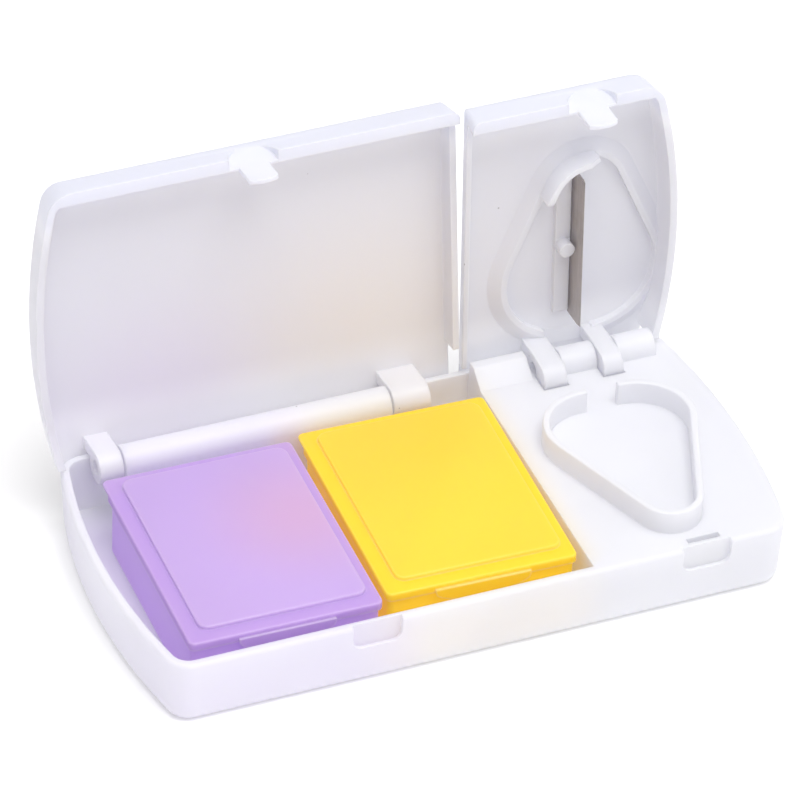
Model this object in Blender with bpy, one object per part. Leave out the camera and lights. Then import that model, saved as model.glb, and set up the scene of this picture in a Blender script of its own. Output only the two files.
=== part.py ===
"""Pill splitter: a shallow tray with two hinged lids, a blade in the small lid and two lift-out pill boxes.

Lengths below are millimetres and become metres when a mesh is made. The origin is the middle of the tray's
footprint on the table, +X runs along the tray from the pill boxes to the cutter, +Y runs from the latches to the
hinges and +Z is up. Both lids are drawn closed and are then turned open about their hinge line.
"""

from math import acos, atan2, cos, pi, radians, sin, sqrt

import bmesh
import bpy
from mathutils import Euler, Matrix, Vector

MM = 0.001
FAR = 80.0  # beyond every outline: reach of cutting blocks

# Tray
HALF_LENGTH = 60.0
HALF_DEPTH = 32.0
TRAY_BULGE = 4.2
TRAY_RIGHT_BULGE = 3.6
CORNER_RADIUS = 5.0
RIM_Z = 14.0
FLOOR_Z = 1.9
FLOOR_BITE = 0.7
WALL = 1.7
TRAY_DRAFT = 0.6
FOOT_RADIUS = 2.5
UNDER_WALL = 3.7
RIM_RADIUS = 0.8
DECK_LEFT = 21.6
DECK_BACK_SOLID = 18.5

# Hinge line of both lids
HINGE_Y = 26.8
HINGE_Z = 14.4
BARREL_RADIUS = 3.2
FOOT_TOP = 12.3
PIN_RADIUS = 1.2
BORE_RADIUS = 1.5
PIN_LENGTH = 3.0
GAP = 0.3
LARGE_BARREL = (-49.6, 3.5)
LARGE_ARMS = ((-54.6, -50.0), (3.9, 11.3))
CUTTER_ARMS = ((33.4, 38.0), (45.6, 49.5))
ARM_HEEL = 3.0
HEEL_RADIUS = 2.9
CUTTER_END_RIGHT = 57.4
RAIL = (21.6, 32.4)
RAIL_FRONT = 24.2
RAIL_CREST = 28.0
RAIL_TOP = 16.8

# Lids
LID_TOP = 22.0
LID_PLATE = 1.4
LID_WALL = 1.5
LID_FRONT_WALL = 2.6
LID_DRAFT = 0.7
LID_EDGE_RADIUS = 2.0
LID_INNER = LID_TOP - LID_PLATE
LID_ROOT = LID_INNER + 0.4
LID_BITE = 0.1
LID_FREE_EDGE = RIM_Z + GAP
SKIRT_END_Y = HINGE_Y - 0.8
LARGE_LID_LEFT = 60.3
LARGE_LID_RIGHT = 19.4
LARGE_RIGHT_SKIRT_END = 19.8
CUTTER_LID_LEFT = 19.9
CUTTER_LID_RIGHT = 57.7
CUTTER_LEFT_SKIRT_Z = 18.2
LID_BULGE = 4.4
SEAM_CORNER = 1.5
RELIEF_Z = 16.2
RELIEF_FRONT = -HALF_DEPTH + LID_FRONT_WALL
RELIEF_MARGIN = 0.6
LARGE_OPEN = 97.6
CUTTER_OPEN = 92.6

# Latches: a tongue inside each lid's front wall, with a thumb hollow outside it on the lid and on the tray
LATCH_X = (-21.3, 43.8)
TONGUE_WIDTH = 5.8
TONGUE_DROP = 5.9
TONGUE_THICKNESS = 0.8
TONGUE_FRONT = -HALF_DEPTH + WALL + GAP
TONGUE_ROOT_Z = 17.0
TONGUE_TIP_FLATTENING = 0.35
HOLLOW_WIDTH = 9.6
HOLLOW_RISE = 4.4
HOLLOW_DEPTH = 1.7
SCOOP_CORNER = 2.0
SCOOP_DROP = 5.3
SCOOP_DEPTH = 1.0

# Cradle on the deck, collar and blade in the small lid
CRADLE_X = 40.7
CRADLE_APEX_Y = -20.6
CRADLE_APEX_RADIUS = 5.0
CRADLE_CORNER = (4.3, 2.6)
CRADLE_CORNER_RADIUS = 9.2
CRADLE_WALL = 1.3
CRADLE_TOP = RIM_Z + 4.8
CRADLE_SLOT = (38.0, 44.4)
COLLAR_X = 44.8
COLLAR_APEX_Y = -8.4
COLLAR_APEX_RADIUS = 7.5
COLLAR_CORNER = (2.4, 10.4)
COLLAR_CORNER_RADIUS = 12.8
COLLAR_WALL = 1.2
COLLAR_FLARE = 3.0
COLLAR_Z = CRADLE_TOP + 0.4
COLLAR_SLOT = (37.6, 47.4)
HOOD_Z = 15.2
HOOD_BACK = -9.4
HOOD_MARGIN = 0.7
HOOD_RIGHT = (44.6, 52.0)
BLADE_X = 42.9
BLADE_THICKNESS = 0.5
BLADE_FRONT = -13.4
BLADE_BACK = 19.4
BLADE_EDGE_Z = RIM_Z + 0.5
BLADE_SHOULDER_Z = BLADE_EDGE_Z + 1.1
BLADE_EDGE_WIDTH = 0.06
HOLDER_WIDTH = 3.0
SLIM_RIB_WIDTH = 1.0
HOLDER_HEIGHT = 1.2
STUD_Y = 3.0
STUD_RADIUS = 1.5
STUD_HEIGHT = 2.4

# Pill boxes
BOX_WIDTH = 37.2
BOX_DEPTH = 49.4
BOX_INSET = 0.5
BOX_FLOOR_Z = FLOOR_Z + GAP
BOX_BODY_TOP = 13.1
BOX_SEAM_Z = 13.4
BOX_PLATE_TOP = 15.1
BOX_PANEL_TOP = 15.8
BOX_WALL = 1.2
BOX_CORNER = 1.2
PANEL_MARGINS = dict(left=3.0, right=1.9, front=3.0, back=1.8)
PANEL_CORNER = 2.0
BOX_HINGE_BACK = 2.6
BOX_HINGE_Z = 13.25
BOX_KNUCKLE = 1.1
BOX_BORE = 0.75
BOX_PIN = 0.45
BOX_PIN_LENGTH = 1.5
BOX_WEB_BITE = 0.4
BOX_WEB_HEIGHT = 4.0
BOX_HINGE_SHARE = 0.43
TAB_SHARE = 0.5
TAB_DROP = 2.6
TAB_THICKNESS = 0.6
TAB_PROUD = 0.45
TAB_ROOT = 0.8
PURPLE_CORNER = (-55.9, -27.5)
PURPLE_YAW = -0.8
YELLOW_CORNER = (-17.5, -26.6)
YELLOW_YAW = -1.5

ARC_STEPS = 22
CORNER_STEPS = 7


# ---------------------------------------------------------------- outlines

def arc(centre, radius, start, end, steps):
    """Points along a circular arc, both ends included."""
    angles = [start + (end - start) * i / steps for i in range(steps + 1)]
    return [(centre[0] + radius * cos(a), centre[1] + radius * sin(a)) for a in angles]


def bulged_end(sign, half_length, bulge, corner, inset):
    """One bowed end of a plan with its two rounded corners, counter-clockwise; sign is +1 at +X."""
    end_radius = (HALF_DEPTH ** 2 + bulge ** 2) / (2 * bulge)
    end_centre = sign * (half_length + bulge - end_radius)
    reach = sqrt((end_radius - corner) ** 2 - (HALF_DEPTH - corner) ** 2)
    corner_x = end_centre + sign * reach
    corner_y = HALF_DEPTH - corner
    turn = atan2(corner_y, reach)
    small = corner - inset
    large = end_radius - inset
    if sign > 0:
        first = arc((corner_x, -corner_y), small, -pi / 2, -turn, CORNER_STEPS)
        middle = arc((end_centre, 0), large, -turn, turn, ARC_STEPS)
        last = arc((corner_x, corner_y), small, turn, pi / 2, CORNER_STEPS)
    else:
        first = arc((corner_x, corner_y), small, pi / 2, pi - turn, CORNER_STEPS)
        middle = arc((end_centre, 0), large, pi - turn, pi + turn, ARC_STEPS)
        last = arc((corner_x, -corner_y), small, pi + turn, 3 * pi / 2, CORNER_STEPS)
    return first[:-1] + middle + last[1:]


def flat_end(sign, x, corner, inset):
    """One straight end of a plan with its two rounded corners, counter-clockwise."""
    centre_x = x - sign * corner
    centre_y = HALF_DEPTH - corner
    start = -pi / 2 if sign > 0 else pi / 2
    first = arc((centre_x, -sign * centre_y), corner - inset, start, start + pi / 2, CORNER_STEPS)
    last = arc((centre_x, sign * centre_y), corner - inset, start + pi / 2, start + pi, CORNER_STEPS)
    return first + last


def tray_plan(inset):
    right = bulged_end(1, HALF_LENGTH, TRAY_RIGHT_BULGE, CORNER_RADIUS, inset)
    left = bulged_end(-1, HALF_LENGTH, TRAY_BULGE, CORNER_RADIUS, inset)
    return right + left


def large_lid_plan(inset):
    corner = max(SEAM_CORNER, inset + GAP)
    right = flat_end(1, LARGE_LID_RIGHT, corner, inset)
    return right + bulged_end(-1, LARGE_LID_LEFT, LID_BULGE, CORNER_RADIUS, inset)


def cutter_lid_plan(inset):
    corner = max(SEAM_CORNER, inset + GAP)
    right = bulged_end(1, CUTTER_LID_RIGHT, LID_BULGE, CORNER_RADIUS, inset)
    return right + flat_end(-1, CUTTER_LID_LEFT, corner, inset)


def rounded_hull(circles, grow=0.0, steps=CORNER_STEPS):
    """Outline around circles (x, y, radius) given counter-clockwise, grown outwards by a distance."""
    count = len(circles)
    normals = []
    for i, (x, y, radius) in enumerate(circles):
        next_x, next_y, next_radius = circles[(i + 1) % count]
        span = sqrt((next_x - x) ** 2 + (next_y - y) ** 2)
        heading = atan2(next_y - y, next_x - x)
        normals.append(heading - acos((radius - next_radius) / span))
    points = []
    for i, (x, y, radius) in enumerate(circles):
        start, end = normals[i - 1], normals[i]
        while end < start:
            end += 2 * pi
        points += arc((x, y), radius + grow, start, end, steps)
    return points


def box_plan(left, right, front, back, corner, grow=0.0):
    """Rectangle with rounded corners."""
    circles = [(x, y, corner) for x, y in ((right - corner, front + corner), (right - corner, back - corner),
                                           (left + corner, back - corner), (left + corner, front + corner))]
    return rounded_hull(circles, grow, 4)


def triangle_plan(middle, apex_y, apex_radius, corner, corner_radius, grow):
    """Rounded triangle with its apex towards the latch side."""
    circles = [(middle, apex_y, apex_radius),
               (middle + corner[0], corner[1], corner_radius),
               (middle - corner[0], corner[1], corner_radius)]
    return rounded_hull(circles, grow, 2 * CORNER_STEPS)


def cradle_plan(grow):
    radii = (CRADLE_APEX_RADIUS, CRADLE_CORNER, CRADLE_CORNER_RADIUS)
    return triangle_plan(CRADLE_X, CRADLE_APEX_Y, *radii, grow)


def collar_plan(grow):
    radii = (COLLAR_APEX_RADIUS, COLLAR_CORNER, COLLAR_CORNER_RADIUS)
    return triangle_plan(COLLAR_X, COLLAR_APEX_Y, *radii, grow)


# ---------------------------------------------------------------- solids

def solid_from_rings(name, rings):
    """Closed body through rings of 3-D points in millimetres, counter-clockwise from above, lowest first."""
    count = len(rings[0])
    vertices = [point for ring in rings for point in ring]
    faces = [tuple(reversed(range(count)))]
    for level in range(len(rings) - 1):
        base = level * count
        for i in range(count):
            j = (i + 1) % count
            faces.append((base + i, base + j, base + count + j, base + count + i))
    top = (len(rings) - 1) * count
    faces.append(tuple(range(top, top + count)))
    mesh = bpy.data.meshes.new(name)
    mesh.from_pydata(vertices, [], faces)
    body = bpy.data.objects.new(name, mesh)
    bpy.context.collection.objects.link(body)
    return body


def prism(name, outline, low, high):
    """Upright body over a plan outline."""
    return solid_from_rings(name, [[(x, y, z) for x, y in outline] for z in (low, high)])


def block(name, x_range, y_range, z_range):
    outline = [(x_range[0], y_range[0]), (x_range[1], y_range[0]), (x_range[1], y_range[1]), (x_range[0], y_range[1])]
    return prism(name, outline, *z_range)


def bar_along_x(name, profile, x_range):
    """Body with a (y, z) profile, counter-clockwise seen from +X, pushed along X."""
    return solid_from_rings(name, [[(x, y, z) for y, z in profile] for x in x_range])


def stepped_prism(name, plan, levels):
    """Body whose plan outline is inset differently at each (inset, z) level."""
    return solid_from_rings(name, [[(x, y, z) for x, y in plan(inset)] for inset, z in levels])


def edge_levels(radius, start_z, rising, inset=0.0, steps=5):
    """Levels of a quarter-round edge: it starts full width at start_z and closes over the radius."""
    turns = [i / steps * pi / 2 for i in range(steps + 1)]
    side = 1 if rising else -1
    levels = [(inset + radius * (1 - cos(t)), start_z + side * radius * sin(t)) for t in turns]
    return levels if rising else levels[::-1]


def combine(body, tool, operation):
    """Applies one Boolean to the body's mesh and removes the tool."""
    modifier = body.modifiers.new(operation.lower(), "BOOLEAN")
    modifier.operation = operation
    modifier.object = tool
    modifier.solver = "EXACT"
    depsgraph = bpy.context.evaluated_depsgraph_get()
    mesh = bpy.data.meshes.new_from_object(body.evaluated_get(depsgraph))
    body.modifiers.clear()
    body.data = mesh
    bpy.data.objects.remove(tool)


def join(body, *tools):
    for tool in tools:
        combine(body, tool, "UNION")


def cut(body, *tools):
    for tool in tools:
        combine(body, tool, "DIFFERENCE")


def keep_inside(body, tool):
    combine(body, tool, "INTERSECT")


def hang(body, pivot, opened):
    """Puts the body's origin on a pivot line along X and turns it open by an angle in degrees."""
    centre = Vector(pivot) * MM
    body.data.transform(Matrix.Translation(-centre))
    body.location = centre
    body.rotation_euler = Euler((-radians(opened), 0, 0))


def plastic(name, colour, roughness, metallic=0.0):
    material = bpy.data.materials.new(name)
    material.use_nodes = True
    shader = material.node_tree.nodes["Principled BSDF"]
    shader.inputs["Base Color"].default_value = (*colour, 1)
    shader.inputs["Roughness"].default_value = roughness
    shader.inputs["Metallic"].default_value = metallic
    return material


def finish(body, material):
    """Cleans the mesh, brings it to metres, shades its rounds smooth and gives it its material."""
    edit = bmesh.new()
    edit.from_mesh(body.data)
    bmesh.ops.remove_doubles(edit, verts=edit.verts, dist=1e-4)
    bmesh.ops.dissolve_degenerate(edit, edges=edit.edges, dist=1e-4)
    bmesh.ops.recalc_face_normals(edit, faces=edit.faces)
    edit.to_mesh(body.data)
    edit.free()
    body.data.transform(Matrix.Scale(MM, 4))
    body.data.shade_smooth()
    body.data.set_sharp_from_angle(angle=radians(35))
    body.data.materials.clear()
    body.data.materials.append(material)


# ---------------------------------------------------------------- tray

def barrel_profile(bottom):
    """Round nose about the hinge line on a foot that runs down to bottom and back into the tray's wall."""
    front = HINGE_Y - BARREL_RADIUS
    back = HINGE_Y + BARREL_RADIUS
    wall = HALF_DEPTH - WALL / 2
    nose = arc((HINGE_Y, HINGE_Z), BARREL_RADIUS, 0, pi, 12)
    return [(front, bottom), (wall, bottom), (wall, FOOT_TOP), (back, FOOT_TOP)] + nose


def ramp_profile(bottom):
    """Ramp that rises from the deck to the tray's back wall beside the small lid's first arm."""
    back = HINGE_Y + BARREL_RADIUS
    return [(RAIL_FRONT, bottom), (back, bottom), (back, RAIL_TOP), (RAIL_CREST, RAIL_TOP), (RAIL_FRONT, RIM_Z)]


def circle(centre, radius, steps=20):
    return arc(centre, radius, 0, 2 * pi * (1 - 1 / steps), steps - 1)


def round_profile(radius):
    return circle((HINGE_Y, HINGE_Z), radius)


def hinge_bar(name, x_range, bottom):
    return bar_along_x(name, barrel_profile(bottom), x_range)


def hinge_pin(name, x_range):
    return bar_along_x(name, round_profile(PIN_RADIUS), x_range)


def latch_scoop(name, x):
    """Thumb hollow in the outer half of the tray's front wall: flat at the rim, rounded below."""
    half = HOLLOW_WIDTH / 2
    low = RIM_Z - SCOOP_DROP
    right = arc((x + half - SCOOP_CORNER, low + SCOOP_CORNER), SCOOP_CORNER, -pi / 2, 0, 5)
    left = arc((x - half + SCOOP_CORNER, low + SCOOP_CORNER), SCOOP_CORNER, pi, 3 * pi / 2, 5)
    outline = left + right + [(x + half, RIM_Z + 1), (x - half, RIM_Z + 1)]
    front, back = -HALF_DEPTH - 1, -HALF_DEPTH + SCOOP_DEPTH
    return solid_from_rings(name, [[(px, y, pz) for px, pz in outline] for y in (back, front)])


def tongue_slot(name, x):
    """Opening in the deck, just inside the front wall, that the small lid's tongue drops into."""
    half = TONGUE_WIDTH / 2 + GAP
    y_range = (TONGUE_FRONT - GAP / 2, TONGUE_FRONT + TONGUE_THICKNESS + GAP)
    return block(name, (x - half, x + half), y_range, (RIM_Z - SCOOP_DROP - TONGUE_THICKNESS, RIM_Z + 1))


def triangle_wall(name, plan, wall, low, high):
    """Upright ring around a rounded-triangle plan."""
    ring = prism(name, plan(wall), low, high)
    cut(ring, prism(name + "_bore", plan(0), low - 1, high + 1))
    return ring


def make_tray():
    levels = edge_levels(FOOT_RADIUS, FOOT_RADIUS, False, TRAY_DRAFT)
    levels += edge_levels(RIM_RADIUS, RIM_Z - RIM_RADIUS, True)
    tray = stepped_prism("base_tray", tray_plan, levels)

    room = prism("room", tray_plan(WALL), FLOOR_Z, RIM_Z + 1)
    keep_inside(room, block("room_end", (-FAR, DECK_LEFT), (-FAR, FAR), (0, FAR)))
    under = prism("under", tray_plan(UNDER_WALL), -1, RIM_Z - WALL)
    keep_inside(under, block("under_end", (DECK_LEFT + WALL, FAR), (-FAR, DECK_BACK_SOLID), (-FAR, FAR)))
    cut(tray, room, under)

    deck_bottom = RIM_Z - WALL
    join(tray, hinge_bar("large_barrel", LARGE_BARREL, FLOOR_Z - FLOOR_BITE))
    join(tray, hinge_bar("cutter_barrel", (CUTTER_ARMS[0][0], CUTTER_END_RIGHT), deck_bottom))
    join(tray, bar_along_x("rail", ramp_profile(deck_bottom), RAIL))
    for start, end in CUTTER_ARMS:
        heel_reach = ARM_HEEL + HEEL_RADIUS + GAP
        y_range = (HINGE_Y - heel_reach, HALF_DEPTH - WALL)
        cut(tray, block("arm_pocket", (start - GAP, end + GAP), y_range, (HINGE_Z - heel_reach, LID_TOP)))
    cutter_barrel = (CUTTER_ARMS[0][1] + GAP, CUTTER_ARMS[1][0] - GAP)
    for left, right in (LARGE_BARREL, cutter_barrel):
        join(tray, hinge_pin("pin", (left - PIN_LENGTH, left + 1)))
        join(tray, hinge_pin("pin", (right - 1, right + PIN_LENGTH)))

    for x in LATCH_X:
        cut(tray, latch_scoop("scoop", x))
    cut(tray, tongue_slot("tongue_slot", LATCH_X[1]))
    cradle = triangle_wall("cradle", cradle_plan, CRADLE_WALL, RIM_Z - 0.5, CRADLE_TOP)
    cut(cradle, block("slot", CRADLE_SLOT, (0, HALF_DEPTH), (0, FAR)))
    join(tray, cradle)
    finish(tray, plastic("tray_white", (0.86, 0.86, 0.92), 0.42))
    return tray


# ---------------------------------------------------------------- lids

def lid_shell(name, plan):
    """Plate with a skirt on every side but the hinge side."""
    levels = [(0.0, LID_FREE_EDGE)] + edge_levels(LID_EDGE_RADIUS, LID_TOP - LID_EDGE_RADIUS, True, LID_DRAFT)
    lid = stepped_prism(name, plan, levels)
    hollow = prism("hollow", plan(LID_WALL), 0, LID_INNER)
    keep_inside(hollow, block("hollow_front", (-FAR, FAR), (-HALF_DEPTH + LID_FRONT_WALL, FAR), (-1, FAR)))
    cut(lid, hollow)
    cut(lid, block("hinge_side", (-FAR, FAR), (SKIRT_END_Y, FAR), (0, LID_INNER)))
    return lid


def lid_arm(name, x_range, heel=0.0, heel_radius=BARREL_RADIUS):
    """Hinge arm: an eye about the hinge line, drawn out downwards by its heel, and a straight neck up to the plate."""
    eye = arc((HINGE_Y, HINGE_Z - heel), heel_radius, pi, 2 * pi, 12)
    eye += arc((HINGE_Y, HINGE_Z), BARREL_RADIUS, 0, pi / 2, 6)
    eye = [(HINGE_Y - BARREL_RADIUS, HINGE_Z)] + eye if heel else eye
    neck = [(SKIRT_END_Y, HINGE_Z + BARREL_RADIUS), (SKIRT_END_Y, LID_ROOT), (HINGE_Y - BARREL_RADIUS, LID_ROOT)]
    arm = bar_along_x(name, eye[:-1] + neck, x_range)
    cut(arm, bar_along_x("bore", round_profile(BORE_RADIUS), (x_range[0] - 1, x_range[1] + 1)))
    return arm


def latch_tongue(name, x):
    """Tongue that hangs from the lid's front wall and drops inside the tray's front wall."""
    half = TONGUE_WIDTH / 2
    low = LID_FREE_EDGE - TONGUE_DROP
    tip = arc((x, low + half), half, pi, 2 * pi, 10)
    tip = [(px, low + (pz - low) * TONGUE_TIP_FLATTENING) for px, pz in tip]
    outline = tip + [(x + half, TONGUE_ROOT_Z), (x - half, TONGUE_ROOT_Z)]
    y_range = (TONGUE_FRONT + TONGUE_THICKNESS, TONGUE_FRONT)
    return solid_from_rings(name, [[(px, y, pz) for px, pz in outline] for y in y_range])


def thumb_hollow(name, x):
    """D-shaped hollow in the outside of the lid's front wall that gets deeper towards the free edge."""
    half = HOLLOW_WIDTH / 2
    crest = [(x + half * cos(t), LID_FREE_EDGE + HOLLOW_RISE * sin(t)) for t in (pi * i / 14 for i in range(15))]
    outline = [(x - half, LID_FREE_EDGE - 1), (x + half, LID_FREE_EDGE - 1)] + crest
    face = -HALF_DEPTH + LID_DRAFT / 2

    def slope(z):
        return face + HOLLOW_DEPTH * (1 - (z - LID_FREE_EDGE) / HOLLOW_RISE)

    rings = [[(px, slope(pz), pz) for px, pz in outline], [(px, -HALF_DEPTH - 1, pz) for px, pz in outline]]
    return solid_from_rings(name, rings)


def add_latch(lid, x):
    cut(lid, thumb_hollow("thumb_hollow", x))
    join(lid, latch_tongue("tongue", x))


def make_large_lid():
    lid = lid_shell("large_lid", large_lid_plan)
    inner = LARGE_LID_RIGHT - LID_WALL - RELIEF_MARGIN
    cut(lid, block("skirt_end", (inner, FAR), (LARGE_RIGHT_SKIRT_END, FAR), (0, LID_INNER)))
    cut(lid, block("box_relief", (inner, FAR), (RELIEF_FRONT, FAR), (0, RELIEF_Z)))
    for x_range in LARGE_ARMS:
        join(lid, lid_arm("arm", x_range))
    add_latch(lid, LATCH_X[0])
    finish(lid, plastic("large_lid_white", (0.86, 0.86, 0.92), 0.45))
    hang(lid, (0, HINGE_Y, HINGE_Z), LARGE_OPEN)
    return lid


def blade_gap(sign):
    """Place of the holder's face beside the blade, on one side of it."""
    return BLADE_X + sign * (BLADE_THICKNESS / 2 + GAP)


def blade_holder():
    """Two ribs that grip the blade, one broad and one slim, and a stud beside it."""
    y_range = (BLADE_FRONT + 1, BLADE_BACK - 1)
    z_range = (LID_INNER - HOLDER_HEIGHT, LID_ROOT)
    broad = block("broad_rib", (blade_gap(-1) - HOLDER_WIDTH, blade_gap(-1)), y_range, z_range)
    slim = block("slim_rib", (blade_gap(1), blade_gap(1) + SLIM_RIB_WIDTH), y_range, z_range)
    outline = circle((blade_gap(-1) - STUD_RADIUS, STUD_Y), STUD_RADIUS)
    stud = prism("stud", outline, LID_INNER - HOLDER_HEIGHT - STUD_HEIGHT, LID_INNER - HOLDER_HEIGHT / 2)
    return broad, slim, stud


def make_collar():
    """Guard around the blade: a low flared ring above the cradle's wall and a tall hood that drops inside it."""
    rings = [[(x, y, z) for x, y in collar_plan(grow)] for grow, z in (
        (COLLAR_WALL, COLLAR_Z), (COLLAR_WALL + COLLAR_FLARE, LID_ROOT))]
    collar = solid_from_rings("collar", rings)
    reach = prism("reach", cradle_plan(-HOOD_MARGIN), HOOD_Z, LID_ROOT)
    ends = [[(0, -FAR, z), (right, -FAR, z), (right, HOOD_BACK, z), (0, HOOD_BACK, z)] for right, z in (
        (HOOD_RIGHT[0], HOOD_Z), (HOOD_RIGHT[1], LID_ROOT))]
    keep_inside(reach, solid_from_rings("reach_end", ends))
    hood = prism("hood", collar_plan(COLLAR_WALL), HOOD_Z - 1, LID_ROOT - LID_BITE)
    keep_inside(hood, reach)
    join(collar, hood)
    cut(collar, prism("collar_bore", collar_plan(0), 0, FAR))
    cut(collar, block("collar_slot", COLLAR_SLOT, (COLLAR_CORNER[1], FAR), (0, LID_INNER - LID_BITE)))
    keep_inside(collar, prism("lid_inside", cutter_lid_plan(LID_WALL / 2), 0, FAR))
    return collar


def make_cutter_lid():
    lid = lid_shell("cutter_lid", cutter_lid_plan)
    skirt_inner = CUTTER_LID_LEFT + LID_WALL + RELIEF_MARGIN
    cut(lid, block("seam_skirt", (0, skirt_inner), (RELIEF_FRONT, FAR), (0, CUTTER_LEFT_SKIRT_Z)))
    for x_range in CUTTER_ARMS:
        join(lid, lid_arm("arm", x_range, ARM_HEEL, HEEL_RADIUS))
    join(lid, make_collar(), *blade_holder())
    add_latch(lid, LATCH_X[1])
    finish(lid, plastic("cutter_lid_white", (0.86, 0.86, 0.92), 0.45))
    hang(lid, (0, HINGE_Y, HINGE_Z), CUTTER_OPEN)
    return lid


def make_blade():
    """Thin steel plate with both faces ground down to the cutting edge."""
    top = LID_INNER - GAP
    half = BLADE_THICKNESS / 2
    tip = BLADE_EDGE_WIDTH / 2
    profile = [(-half, top), (-half, BLADE_SHOULDER_Z), (-tip, BLADE_EDGE_Z), (tip, BLADE_EDGE_Z),
               (half, BLADE_SHOULDER_Z), (half, top)]
    rings = [[(BLADE_X + x, y, z) for x, z in profile] for y in (BLADE_BACK, BLADE_FRONT)]
    blade = solid_from_rings("blade", rings)
    finish(blade, plastic("blade_steel", (0.45, 0.45, 0.47), 0.3, 1.0))
    hang(blade, (0, HINGE_Y, HINGE_Z), CUTTER_OPEN)
    return blade


# ---------------------------------------------------------------- pill boxes

def box_hinge_y():
    return BOX_DEPTH - BOX_HINGE_BACK


def knuckle(name, x_range, radius):
    """Round bar along a box's own hinge line."""
    return bar_along_x(name, circle((box_hinge_y(), BOX_HINGE_Z), radius, 16), x_range)


def hinge_split():
    """Ends of the lid's middle hinge segment along a box's width."""
    middle = BOX_WIDTH / 2
    half = BOX_WIDTH * BOX_HINGE_SHARE / 2
    return middle - half, middle + half


def make_box_body(name, material):
    """Open tray in the box's own frame: front left corner of its lid at the origin."""
    left, right = BOX_INSET, BOX_WIDTH - BOX_INSET
    front, back = BOX_INSET, box_hinge_y() - BOX_KNUCKLE - GAP
    body = prism(name, box_plan(left, right, front, back, BOX_CORNER), BOX_FLOOR_Z, BOX_BODY_TOP)
    inside = box_plan(left, right, front, back, BOX_CORNER, -BOX_WALL)
    cut(body, prism("inside", inside, BOX_FLOOR_Z + BOX_WALL, 30))
    split = hinge_split()
    web_y = (back - BOX_WEB_BITE, box_hinge_y() + BOX_KNUCKLE / 2)
    web_z = (BOX_BODY_TOP - BOX_WEB_HEIGHT, BOX_HINGE_Z - BOX_KNUCKLE / 2)
    for x_range in ((left + 1, split[0] - GAP), (split[1] + GAP, right - 1)):
        join(body, block("web", x_range, web_y, web_z))
        join(body, knuckle("knuckle", x_range, BOX_KNUCKLE))
    join(body, knuckle("pin", (split[0] - BOX_PIN_LENGTH, split[0] + BOX_PIN_LENGTH), BOX_PIN))
    join(body, knuckle("pin", (split[1] - BOX_PIN_LENGTH, split[1] + BOX_PIN_LENGTH), BOX_PIN))
    finish(body, material)
    return body


def thumb_tab(name):
    """Thin tab on the front edge of a box lid whose lower edge is a half ellipse."""
    middle = BOX_WIDTH / 2
    half = middle * TAB_SHARE
    turns = [pi * i / 12 for i in range(13)]
    outline = [(middle - half * cos(t), BOX_SEAM_Z - TAB_DROP * sin(t)) for t in turns]
    outline += [(middle + half, BOX_SEAM_Z + TAB_ROOT), (middle - half, BOX_SEAM_Z + TAB_ROOT)]
    y_range = (TAB_THICKNESS - TAB_PROUD, -TAB_PROUD)
    return solid_from_rings(name, [[(x, y, z) for x, z in outline] for y in y_range])


def make_box_lid(name, material):
    """Flat lid with a raised panel, a front thumb tab and a hinge segment, in the box's own frame."""
    lid = prism(name, box_plan(0, BOX_WIDTH, 0, BOX_DEPTH, BOX_CORNER), BOX_SEAM_Z, BOX_PLATE_TOP)
    split = hinge_split()
    relief_front = box_hinge_y() - BOX_KNUCKLE - GAP
    relief_top = BOX_HINGE_Z + BOX_KNUCKLE + GAP
    for x_range in ((-1, split[0]), (split[1], BOX_WIDTH + 1)):
        cut(lid, block("knuckle_room", x_range, (relief_front, BOX_DEPTH + 1), (0, relief_top)))
    margins = PANEL_MARGINS
    sides = (margins["left"], BOX_WIDTH - margins["right"], margins["front"], BOX_DEPTH - margins["back"])
    panel = box_plan(*sides, PANEL_CORNER)
    join(lid, prism("panel", panel, BOX_PLATE_TOP - GAP, BOX_PANEL_TOP))
    join(lid, thumb_tab("tab"))
    join(lid, knuckle("segment", split, BOX_KNUCKLE))
    depth = BOX_PIN_LENGTH + GAP
    cut(lid, knuckle("bore", (split[0] - depth, split[0] + depth), BOX_BORE))
    cut(lid, knuckle("bore", (split[1] - depth, split[1] + depth), BOX_BORE))
    finish(lid, material)
    return lid


def make_pill_box(colour_name, corner, yaw, colour):
    """A pill box and its lid, placed in the tray by the lid's front left corner."""
    material = plastic(colour_name + "_plastic", colour, 0.3)
    lid_material = plastic(colour_name + "_lid_plastic", colour, 0.3)
    body = make_box_body(colour_name + "_box", material)
    lid = make_box_lid(colour_name + "_box_lid", lid_material)
    seat = bpy.data.objects.new(colour_name + "_seat", None)
    bpy.context.collection.objects.link(seat)
    seat.location = Vector((corner[0], corner[1], 0)) * MM
    seat.rotation_euler = Euler((0, 0, radians(yaw)))
    hang(lid, (0, box_hinge_y(), BOX_HINGE_Z), 0)
    for piece in (body, lid):
        piece.parent = seat


def main():
    for thing in list(bpy.data.objects):
        bpy.data.objects.remove(thing)
    make_tray()
    make_large_lid()
    make_cutter_lid()
    make_blade()
    make_pill_box("purple", PURPLE_CORNER, PURPLE_YAW, (0.62, 0.42, 0.78))
    make_pill_box("yellow", YELLOW_CORNER, YELLOW_YAW, (0.95, 0.72, 0.10))


main()
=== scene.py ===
"""Looks of the pill splitter: visual shells over the CAD frame, moulded plastics and a ground steel blade.

The frame's axes are +X from the pill boxes to the cutter, +Y towards the hinges and +Z up. Lengths are
metres, and a comment says so where a value is in millimetres.
"""

from collections import namedtuple
from math import cos, radians, sin

import bmesh
import bpy
from mathutils import Matrix, Vector


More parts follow.
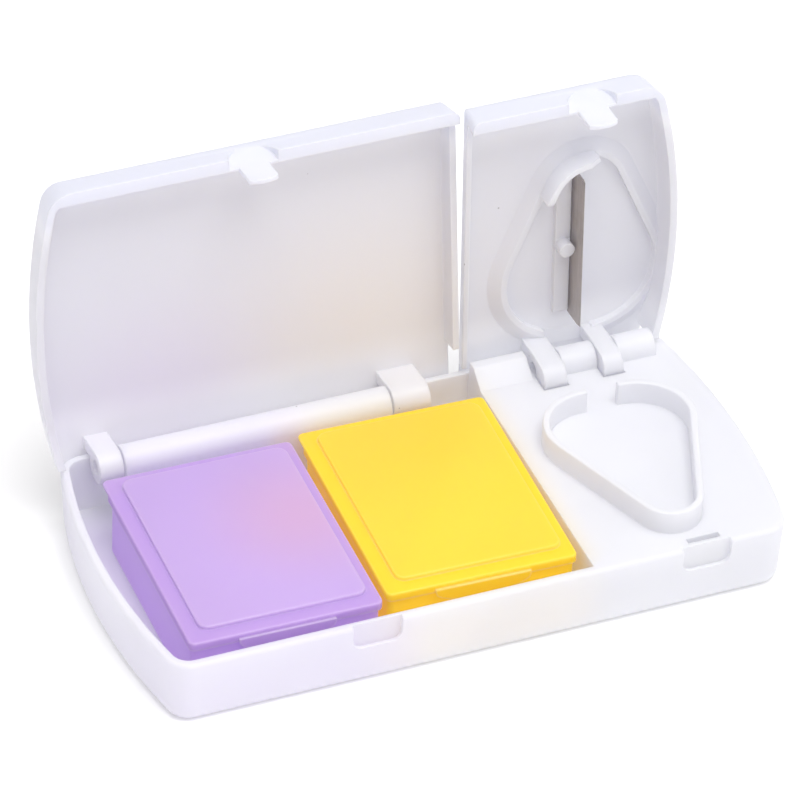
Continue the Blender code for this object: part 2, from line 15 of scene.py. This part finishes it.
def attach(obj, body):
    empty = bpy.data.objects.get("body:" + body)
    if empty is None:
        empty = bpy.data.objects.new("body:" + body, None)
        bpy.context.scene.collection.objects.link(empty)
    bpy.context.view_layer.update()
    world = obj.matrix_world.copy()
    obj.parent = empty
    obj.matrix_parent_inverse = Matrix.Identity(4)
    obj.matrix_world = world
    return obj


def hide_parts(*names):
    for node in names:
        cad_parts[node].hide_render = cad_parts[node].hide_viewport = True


MM = 0.001

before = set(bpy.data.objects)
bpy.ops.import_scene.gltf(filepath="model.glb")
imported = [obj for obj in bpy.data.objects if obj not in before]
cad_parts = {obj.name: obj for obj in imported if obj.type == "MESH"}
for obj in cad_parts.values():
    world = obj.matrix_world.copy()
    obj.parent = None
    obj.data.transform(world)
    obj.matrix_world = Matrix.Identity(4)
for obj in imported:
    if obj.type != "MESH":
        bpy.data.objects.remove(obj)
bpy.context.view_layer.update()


# ---------------------------------------------------------------- meshes

# node: (CAD body, material slot, height in mm above which its upper edges are rounded off, or None)
SHELLS = {
    "base_tray": ("tray", "tray_plastic", 18.5),
    "large_lid": ("large_lid", "lid_plastic", None),
    "cutter_lid": ("cutter_lid", "lid_plastic", None),
    "blade": ("cutter_lid", "blade_steel", None),
    "purple_box": ("purple_box", "purple_plastic", None),
    "purple_box_lid": ("purple_box_lid", "purple_plastic", 15.0),
    "yellow_box": ("yellow_box", "yellow_plastic", None),
    "yellow_box_lid": ("yellow_box_lid", "yellow_plastic", 15.0),
}
WELD = 0.002 * MM
FLAT_ANGLE = radians(1.5)
SMOOTH_ANGLE = radians(30)
EDGE_ANGLE = radians(38)
EDGE_RADIUS = 0.28 * MM
ROUND_SEGMENTS = 3
SHADING_LAYERS = ("custom_normal", "sharp_edge", "sharp_face")


def round_upper_edges(edit, height):
    """Rounds off every sharp convex edge that lies above a height in mm."""
    edges = [e for e in edit.edges if len(e.link_faces) == 2 and e.is_convex
             and e.calc_face_angle() > EDGE_ANGLE and min(v.co.z for v in e.verts) > height * MM]
    bmesh.ops.bevel(edit, geom=edges, offset=EDGE_RADIUS, segments=ROUND_SEGMENTS, profile=0.5,
                    affect="EDGES", clamp_overlap=False)


def shell_mesh(name, source, height):
    """Copy of a CAD mesh: split vertices welded, flat areas made whole and upper edges rounded."""
    edit = bmesh.new()
    edit.from_mesh(source)
    bmesh.ops.remove_doubles(edit, verts=edit.verts, dist=WELD)
    bmesh.ops.dissolve_limit(edit, angle_limit=FLAT_ANGLE, verts=edit.verts, edges=edit.edges)
    bmesh.ops.recalc_face_normals(edit, faces=edit.faces)
    if height is not None:
        round_upper_edges(edit, height)
    mesh = bpy.data.meshes.new(name)
    edit.to_mesh(mesh)
    edit.free()
    for layer in [a.name for a in mesh.attributes if a.name in SHADING_LAYERS]:
        mesh.attributes.remove(mesh.attributes[layer])
    mesh.shade_smooth()
    mesh.set_sharp_from_angle(angle=SMOOTH_ANGLE)
    return mesh


# ---------------------------------------------------------------- material nodes

EDGE_SAMPLES = 6
FLAT_LEAN = 0.995
EDGE_LEAN = 0.80


def rgb(red, green, blue):
    return (red, green, blue, 1.0)


class Shader:
    """Adds nodes to one material's tree.

    An input is named by its own name with _ for a space, or by i and its number. It takes a value or a link.
    """

    def __init__(self, name):
        self.material = bpy.data.materials.new(name)
        self.material.use_nodes = True
        self.tree = self.material.node_tree
        self.tree.nodes.clear()

    def add(self, kind, settings=None, **inputs):
        node = self.tree.nodes.new("ShaderNode" + kind)
        for key, value in (settings or {}).items():
            setattr(node, key, value)
        for key, value in inputs.items():
            self.plug(node, key.replace("_", " "), value)
        return node

    def plug(self, node, key, value):
        numbered = key[0] == "i" and key[1:].isdigit()
        socket = node.inputs[int(key[1:]) if numbered else key]
        if isinstance(value, bpy.types.NodeSocket):
            self.tree.links.new(value, socket)
        else:
            socket.default_value = value

    def place(self):
        """Position on the object in metres."""
        return self.add("TexCoord").outputs["Object"]

    def shifted_place(self, shift):
        """Position moved by a shift, so that two materials don't share a pattern."""
        return self.add("VectorMath", {"operation": "ADD"}, i0=self.place(), i1=shift).outputs[0]

    def axes(self):
        """Position's three components."""
        return self.add("SeparateXYZ", Vector=self.place()).outputs

    def noise(self, vector, scale, detail, rough):
        """Noise with a number of waves per metre."""
        return self.add("TexNoise", Vector=vector, Scale=scale, Detail=detail, Roughness=rough).outputs["Fac"]

    def ramp(self, value, low, high, out_low=0.0, out_high=1.0):
        """Smooth change from one number to another as a value goes from low to high."""
        node = self.add("MapRange", {"interpolation_type": "SMOOTHSTEP"}, Value=value, From_Min=low,
                        From_Max=high, To_Min=out_low, To_Max=out_high)
        return node.outputs["Result"]

    def math(self, operation, first, second=0.0):
        return self.add("Math", {"operation": operation}, i0=first, i1=second).outputs[0]

    def scaled(self, value, factor):
        return self.math("MULTIPLY", value, factor)

    def mix(self, share, first, second):
        return self.add("Mix", {"data_type": "RGBA"}, i0=share, i6=first, i7=second).outputs[2]

    def rounded(self, radius):
        """Normal of a surface whose edges are rounded by a radius."""
        return self.add("Bevel", {"samples": EDGE_SAMPLES}, Radius=radius).outputs["Normal"]

    def edge_mask(self, radius):
        """1 on sharp edges and 0 on flat faces, from how far the rounded normal leans from the real one."""
        rounded = self.rounded(radius)
        flat = self.add("NewGeometry").outputs["Normal"]
        lean = self.add("VectorMath", {"operation": "DOT_PRODUCT"}, i0=rounded, i1=flat).outputs["Value"]
        return self.ramp(lean, FLAT_LEAN, EDGE_LEAN)

    def specks(self, scale, size, share):
        """Mask of small dots: a share of the cells of a cell pattern hold one each."""
        cells = self.add("TexVoronoi", Vector=self.place(), Scale=scale, Randomness=1.0)
        near = self.ramp(cells.outputs["Distance"], size, size * 0.5)
        picked = self.add("SeparateColor", Color=cells.outputs["Color"]).outputs[0]
        return self.math("MULTIPLY", near, self.math("GREATER_THAN", picked, 1 - share))

    def bump(self, height, distance, strength, normal=None):
        node = self.add("Bump", Height=height, Distance=distance, Strength=strength)
        if normal is not None:
            self.plug(node, "Normal", normal)
        return node.outputs["Normal"]

    def close(self, surface):
        self.add("OutputMaterial", Surface=surface)
        return self.material


# ---------------------------------------------------------------- masks, all in mm

def near_box(shader, centre, half, fade):
    """1 over a pill box's plan rectangle and 0 farther than a fade distance from it."""
    squares = []
    for axis, middle, reach in zip(shader.axes(), centre, half):
        offset = shader.math("ABSOLUTE", shader.math("SUBTRACT", axis, middle * MM))
        outside = shader.math("MAXIMUM", shader.math("SUBTRACT", offset, reach * MM), 0.0)
        squares.append(shader.math("MULTIPLY", outside, outside))
    distance = shader.math("SQRT", shader.math("ADD", *squares))
    return shader.ramp(distance, fade * MM, 0.0)


def between_heights(shader, low, high, fade):
    """1 between two heights, fading to 0 beyond both."""
    height = shader.axes()[2]
    above = shader.ramp(height, (low - fade) * MM, low * MM)
    return shader.math("MULTIPLY", above, shader.ramp(height, (high + fade) * MM, high * MM))


def near_point(shader, point, fade):
    """1 at a point and 0 beyond a fade distance from it."""
    middle = [c * MM for c in point]
    away = shader.add("VectorMath", {"operation": "DISTANCE"}, i0=shader.place(), i1=middle)
    return shader.ramp(away.outputs["Value"], fade * MM, 0.0)


# ---------------------------------------------------------------- plastics and steel

SCATTER_DEPTH = 2.5 * MM
FLOW_TONE = 0.95
RUB_SCALE = 45.0
RUB_STRETCH = 60.0
RUB_LEAN = (0.3, 0.2)

# Heights in mm between which a box lid's rim gives way to its raised panel
PANEL_STEP_FOOT = 15.2
PANEL_STEP_TOP = 15.6
BLUSH_FADE = 24.0

# Painted highlight: the colour towards which the white plastic's sharp edges are paled
WHITE_EDGE_HIGHLIGHT = rgb(0.94, 0.945, 0.985)
WHITE_EDGE_HIGHLIGHT_SHARE = 0.5
WHITE_THROUGH = rgb(0.93, 0.93, 0.985)
WHITE_THROUGH_SHARE = 0.24
WHITE_RUB_ROUGHNESS = 0.14
# Painted light: the white plastic glows a little, lifting it where it lies in shade
WHITE_GLOW = 0.07
SPECK = rgb(0.22, 0.19, 0.18)
SPECK_SHARE = 0.75

# Painted highlight: share by which the pill boxes' sharp edges are paled halfway towards white
TINTED_EDGE_HIGHLIGHT_SHARE = 0.45
TINTED_RIM_SHARE = 0.9
TINTED_THROUGH_SHARE = 0.22
TINTED_RUB_ROUGHNESS = 0.12

STEEL_DARK = rgb(0.43, 0.39, 0.37)
STEEL_LIGHT = rgb(0.54, 0.50, 0.47)
STEEL_STAIN = rgb(0.36, 0.32, 0.30)
STAIN_SHARE = 0.5
GRIND_SQUASH = (1.0, 1.0, 0.02)


def flow_tones(shader, flow, tint):
    """Plain colour with the darker tone that flow marks leave in a moulding."""
    return shader.mix(flow, rgb(*tint), rgb(*(c * FLOW_TONE for c in tint)))


def scratches(shader, turn):
    """Thin straight rub marks: noise drawn out along one direction."""
    mapping = shader.add("Mapping", Vector=shader.place(), Rotation=(*RUB_LEAN, turn),
                         Scale=(1.0, RUB_STRETCH, RUB_STRETCH))
    drawn = shader.noise(mapping.outputs["Vector"], scale=RUB_SCALE, detail=2.0, rough=0.5)
    return shader.ramp(drawn, low=0.70, high=0.78)


def scattering_plastic(shader, colour, roughness, normal, through, through_share, **inputs):
    """Closes a material whose body scatters light, lets a share of the light through and glows a little,
    which is painted light.
    """
    body = shader.add("BsdfPrincipled", {"subsurface_method": "RANDOM_WALK"}, Base_Color=colour,
                      Emission_Color=colour, Roughness=roughness, Normal=normal,
                      Subsurface_Scale=SCATTER_DEPTH, **inputs)
    passing = shader.add("BsdfTranslucent", Color=through, Normal=normal)
    mixed = shader.add("MixShader", Fac=through_share, i1=body.outputs[0], i2=passing.outputs[0])
    return shader.close(mixed.outputs[0])


def white_polypropylene(name, tint, seed, bleeds):
    """Milky moulded plastic: flow shading, satin patches, rub marks, a few specks and painted highlights
    along the edges.

    The bleeds are painted coloured light that neighbouring parts send into the plastic, and painted shade.
    """
    shader = Shader(name)
    place = shader.shifted_place((seed, seed * 0.7, 0))
    flow = shader.ramp(shader.noise(place, scale=26.0, detail=3.0, rough=0.55), low=0.35, high=0.68)
    milky = flow_tones(shader, flow, tint)
    for bleed in bleeds:
        mask = bleed.mask(shader, **bleed.limits)
        milky = shader.mix(shader.scaled(mask, bleed.share), milky, rgb(*bleed.colour))
    # Painted highlight: sharp edges are paled towards a lighter colour
    edges = shader.edge_mask(0.5 * MM)
    edge_highlighted = shader.mix(shader.scaled(edges, WHITE_EDGE_HIGHLIGHT_SHARE), milky, WHITE_EDGE_HIGHLIGHT)
    dirt = shader.specks(scale=140.0, size=0.035, share=0.35)
    colour = shader.mix(shader.scaled(dirt, SPECK_SHARE), edge_highlighted, SPECK)

    patches = shader.noise(place, scale=70.0, detail=4.0, rough=0.6)
    satin = shader.ramp(patches, low=0.3, high=0.75, out_low=0.36, out_high=0.48)
    rubs = scratches(shader, seed)
    roughness = shader.math("ADD", satin, shader.scaled(rubs, WHITE_RUB_ROUGHNESS))
    fine = shader.noise(place, scale=2600.0, detail=2.0, rough=0.6)
    grain = shader.bump(fine, distance=0.02 * MM, strength=0.22, normal=shader.rounded(0.35 * MM))
    swells = shader.noise(place, scale=95.0, detail=2.0, rough=0.5)
    waves = shader.bump(swells, distance=0.12 * MM, strength=0.35, normal=grain)
    marks = shader.bump(rubs, distance=0.01 * MM, strength=0.5, normal=waves)
    return scattering_plastic(shader, colour, roughness, marks, WHITE_THROUGH, WHITE_THROUGH_SHARE, IOR=1.49,
                              Subsurface_Weight=0.6, Subsurface_Radius=(1.0, 0.98, 1.1),
                              Emission_Strength=WHITE_GLOW)


def tinted_plastic(name, tints, blush_place, glow, seed):
    """Frosted coloured plastic: deeper rim around the raised panel, a blush, painted highlights along the
    edges and rub marks.
    """
    shader = Shader(name)
    place = shader.shifted_place((seed, seed, seed))
    flow = shader.ramp(shader.noise(place, scale=22.0, detail=2.0, rough=0.5), low=0.30, high=0.72)
    flowing = flow_tones(shader, flow, tints.face)
    blushed = shader.mix(near_point(shader, blush_place, BLUSH_FADE), flowing, rgb(*tints.blush))
    below_panel = shader.ramp(shader.axes()[2], PANEL_STEP_TOP * MM, PANEL_STEP_FOOT * MM)
    rimmed = shader.mix(shader.scaled(below_panel, TINTED_RIM_SHARE), blushed, rgb(*tints.rim))
    # Painted highlight: sharp edges are paled halfway towards white
    edges = shader.edge_mask(0.8 * MM)
    edge_highlight_colour = rgb(*(0.5 + 0.5 * c for c in tints.face))
    colour = shader.mix(shader.scaled(edges, TINTED_EDGE_HIGHLIGHT_SHARE), rimmed, edge_highlight_colour)

    patches = shader.noise(place, scale=40.0, detail=2.0, rough=0.5)
    satin = shader.ramp(patches, low=0.3, high=0.75, out_low=0.28, out_high=0.32)
    rubs = scratches(shader, seed * 3)
    roughness = shader.math("ADD", satin, shader.scaled(rubs, TINTED_RUB_ROUGHNESS))
    fine = shader.noise(place, scale=3000.0, detail=2.0, rough=0.6)
    grain = shader.bump(fine, distance=0.02 * MM, strength=0.2, normal=shader.rounded(0.3 * MM))
    swells = shader.noise(place, scale=55.0, detail=1.0, rough=0.4)
    waves = shader.bump(swells, distance=0.10 * MM, strength=0.15, normal=grain)
    marks = shader.bump(rubs, distance=0.01 * MM, strength=0.4, normal=waves)
    return scattering_plastic(shader, colour, roughness, marks, colour, TINTED_THROUGH_SHARE, IOR=1.5,
                              Subsurface_Weight=0.7, Subsurface_Radius=(1.0, 0.9, 1.0),
                              Emission_Strength=glow)


def ground_steel(name):
    """Thin razor steel: fine grinding lines drawn out up the blade, and a few stains."""
    shader = Shader(name)
    mapping = shader.add("Mapping", Vector=shader.place(), Scale=GRIND_SQUASH)
    lines = shader.noise(mapping.outputs["Vector"], scale=5200.0, detail=2.0, rough=0.6)
    patches = shader.noise(shader.place(), scale=240.0, detail=4.0, rough=0.65)
    stains = shader.ramp(patches, low=0.45, high=0.75)
    steel = shader.mix(shader.ramp(lines, low=0.3, high=0.7), STEEL_DARK, STEEL_LIGHT)
    colour = shader.mix(shader.scaled(stains, STAIN_SHARE), steel, STEEL_STAIN)
    roughness = shader.ramp(lines, low=0.2, high=0.8, out_low=0.30, out_high=0.46)
    normal = shader.bump(lines, distance=0.008 * MM, strength=0.5)
    body = shader.add("BsdfPrincipled", Base_Color=colour, Metallic=0.85, Roughness=roughness, Normal=normal)
    return shader.close(body.outputs[0])


# ---------------------------------------------------------------- looks of the pieces

# Colours of a pill box's panel, of the rim around the panel and of the blush
Tints = namedtuple("Tints", "face rim blush")
PURPLE = Tints((0.62, 0.455, 0.785), (0.56, 0.38, 0.75), (0.67, 0.445, 0.665))
YELLOW = Tints((1.0, 0.715, 0.06), (1.0, 0.715, 0.035), (0.94, 0.67, 0.06))
YELLOW_BODY = Tints((1.0, 0.75, 0.045), (1.0, 0.75, 0.045), (1.0, 0.75, 0.045))

# Where the blush lies in mm, on a box and on its lid
PURPLE_BLUSH = (-22, 0, 12)
PURPLE_LID_BLUSH = (-24, 0, 15)
YELLOW_BLUSH = (2, 18, 12)
YELLOW_LID_BLUSH = (2, 18, 15)

# Coloured light and shade that the neighbouring parts send into the white plastic; the limits are mm
Bleed = namedtuple("Bleed", "mask limits colour share")
YELLOW_BLEED = Bleed(near_box, dict(centre=(1.5, -1.5), half=(19.0, 24.0), fade=5.5),
                     (0.90, 0.83, 0.64), 0.45)
PURPLE_BLEED = Bleed(near_box, dict(centre=(-37.0, -3.0), half=(19.0, 25.0), fade=9.0),
                     (0.84, 0.76, 0.98), 0.40)
LID_PURPLE_BLEED = Bleed(near_point, dict(point=(-40.0, 40.0, 18.0), fade=34.0), (0.76, 0.68, 0.80), 0.40)
LID_WARM_BLEED = Bleed(near_point, dict(point=(6.0, 36.0, 28.0), fade=42.0), (0.78, 0.735, 0.70), 0.55)
LID_SHADE = Bleed(between_heights, dict(low=26, high=60, fade=7), (0.74, 0.74, 0.775), 1.0)
LID_TOP_SHADE = Bleed(between_heights, dict(low=68, high=90, fade=4), (0.775, 0.79, 0.865), 1.0)
HOOD_LIGHT = Bleed(near_point, dict(point=(42.0, 29.0, 56.0), fade=11.0), (0.90, 0.91, 0.955), 0.8)
TRAY_BLEEDS = (YELLOW_BLEED, PURPLE_BLEED)
LARGE_LID_BLEEDS = (LID_SHADE, LID_TOP_SHADE, LID_PURPLE_BLEED, LID_WARM_BLEED)
CUTTER_LID_BLEEDS = (LID_SHADE, LID_TOP_SHADE, HOOD_LIGHT)

WHITE = (0.855, 0.858, 0.89)
LID_WHITE = (0.865, 0.868, 0.90)

LOOKS = {
    "base_tray": white_polypropylene("tray_white", WHITE, 0.0, TRAY_BLEEDS),
    "large_lid": white_polypropylene("large_lid_white", LID_WHITE, 0.37, LARGE_LID_BLEEDS),
    "cutter_lid": white_polypropylene("cutter_lid_white", LID_WHITE, 0.81, CUTTER_LID_BLEEDS),
    "blade": ground_steel("blade_steel"),
    # Painted light: the boxes' bodies sit in shade under their lids and so glow more than the lids
    "purple_box": tinted_plastic("purple_body", PURPLE, PURPLE_BLUSH, glow=0.26, seed=0.2),
    "purple_box_lid": tinted_plastic("purple_lid", PURPLE, PURPLE_LID_BLUSH, glow=0.12, seed=0.5),
    "yellow_box": tinted_plastic("yellow_body", YELLOW_BODY, YELLOW_BLUSH, glow=0.20, seed=0.9),
    "yellow_box_lid": tinted_plastic("yellow_lid", YELLOW, YELLOW_LID_BLUSH, glow=0.12, seed=1.3),
}


def dress():
    """Puts a visual shell over every CAD node."""
    for node, (body, slot, height) in SHELLS.items():
        name = node + "_look"
        piece = bpy.data.objects.new(name, shell_mesh(name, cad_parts[node].data, height))
        bpy.context.scene.collection.objects.link(piece)
        piece.data.materials.clear()
        piece.data.materials.append(LOOKS[node])
        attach(piece, body)
        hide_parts(node)


# ---------------------------------------------------------------- floor

FLOOR_HALF = 4.0
FLOOR_DARK = rgb(0.96, 0.96, 0.96)
FLOOR_LIGHT = rgb(0.975, 0.975, 0.975)
FLOOR_GLOW = 0.12


def floor_material():
    shader = Shader("pale_floor")
    patches = shader.noise(shader.place(), scale=3.0, detail=2.0, rough=0.5)
    colour = shader.mix(shader.ramp(patches, low=0.3, high=0.7), FLOOR_DARK, FLOOR_LIGHT)
    body = shader.add("BsdfPrincipled", Base_Color=colour, Roughness=0.9, Specular_IOR_Level=0.1,
                      Emission_Color=colour, Emission_Strength=FLOOR_GLOW)
    return shader.close(body.outputs[0])


def make_floor():
    """Pale seamless floor."""
    corners = [(x * FLOOR_HALF, y * FLOOR_HALF, 0) for x, y in ((-1, -1), (1, -1), (1, 1), (-1, 1))]
    mesh = bpy.data.meshes.new("floor")
    mesh.from_pydata(corners, [], [(0, 1, 2, 3)])
    mesh.materials.append(floor_material())
    floor = bpy.data.objects.new("floor", mesh)
    bpy.context.scene.collection.objects.link(floor)


# ---------------------------------------------------------------- light

HORIZON = rgb(0.36, 0.34, 0.34)
ZENITH = rgb(1.0, 1.0, 1.0)
SURROUND_STRENGTH = 0.86
LIT_POINT = Vector((0.0, 0.0, 0.02))

# name: (place, diameter in m, watts, colour)
SOFTBOXES = {
    "key": (Vector((0.05, -0.30, 1.10)), 0.8, 8.0, (0.985, 0.985, 1.0)),
    "fill": (Vector((0.9, -0.5, 0.6)), 0.6, 1.5, (0.97, 0.98, 1.0)),
}


def add_softbox(name, place, diameter, power, colour):
    light = bpy.data.lights.new(name, "AREA")
    light.shape = "DISK"
    light.size = diameter
    light.energy = power
    light.color = colour
    holder = bpy.data.objects.new(name, light)
    holder.location = place
    holder.rotation_euler = (LIT_POINT - place).to_track_quat("-Z", "Y").to_euler()
    bpy.context.scene.collection.objects.link(holder)


def make_surround():
    """White surround that is brightest overhead, and dimmer and a little warmer at the horizon."""
    world = bpy.data.worlds.new("studio")
    world.use_nodes = True
    tree = world.node_tree
    place = tree.nodes.new("ShaderNodeTexCoord")
    axes = tree.nodes.new("ShaderNodeSeparateXYZ")
    ramp = tree.nodes.new("ShaderNodeValToRGB")
    background = tree.nodes["Background"]
    ramp.color_ramp.elements[0].color = HORIZON
    ramp.color_ramp.elements[1].color = ZENITH
    tree.links.new(place.outputs["Generated"], axes.inputs[0])
    tree.links.new(axes.outputs["Z"], ramp.inputs[0])
    tree.links.new(ramp.outputs[0], background.inputs["Color"])
    background.inputs["Strength"].default_value = SURROUND_STRENGTH
    bpy.context.scene.world = world


def make_light():
    """Soft surround with a large softbox high above the front and a weak one on the right."""
    make_surround()
    for name, settings in SOFTBOXES.items():
        add_softbox(name, *settings)


# ---------------------------------------------------------------- camera

# Direction from the object, roll, distance, lens in mm on a 36 mm sensor, and the point it looks at
VIEW_AZIMUTH = radians(-23.07)
VIEW_ELEVATION = radians(38.33)
VIEW_ROLL = radians(2.164)
VIEW_DISTANCE = 1.1953
VIEW_LENS = 295.29
VIEW_TARGET = Vector((-5.955, -1.859, 38.842)) * MM
NEAREST_SEEN = 0.01


def make_camera():
    outward = Vector((sin(VIEW_AZIMUTH) * cos(VIEW_ELEVATION), -cos(VIEW_AZIMUTH) * cos(VIEW_ELEVATION),
                      sin(VIEW_ELEVATION)))
    right = (-outward).cross(Vector((0, 0, 1))).normalized()
    up = outward.cross(right)
    tilted_right = right * cos(VIEW_ROLL) + up * sin(VIEW_ROLL)
    tilted_up = up * cos(VIEW_ROLL) - right * sin(VIEW_ROLL)
    camera = bpy.data.cameras.new("camera")
    camera.lens = VIEW_LENS
    camera.clip_start = NEAREST_SEEN
    holder = bpy.data.objects.new("camera", camera)
    turn = Matrix((tilted_right, tilted_up, outward)).transposed().to_4x4()
    holder.matrix_world = Matrix.Translation(VIEW_TARGET + outward * VIEW_DISTANCE) @ turn
    bpy.context.scene.collection.objects.link(holder)
    bpy.context.scene.camera = holder


dress()
make_floor()
make_light()
make_camera()
bpy.context.scene.view_settings.view_transform = "Standard"
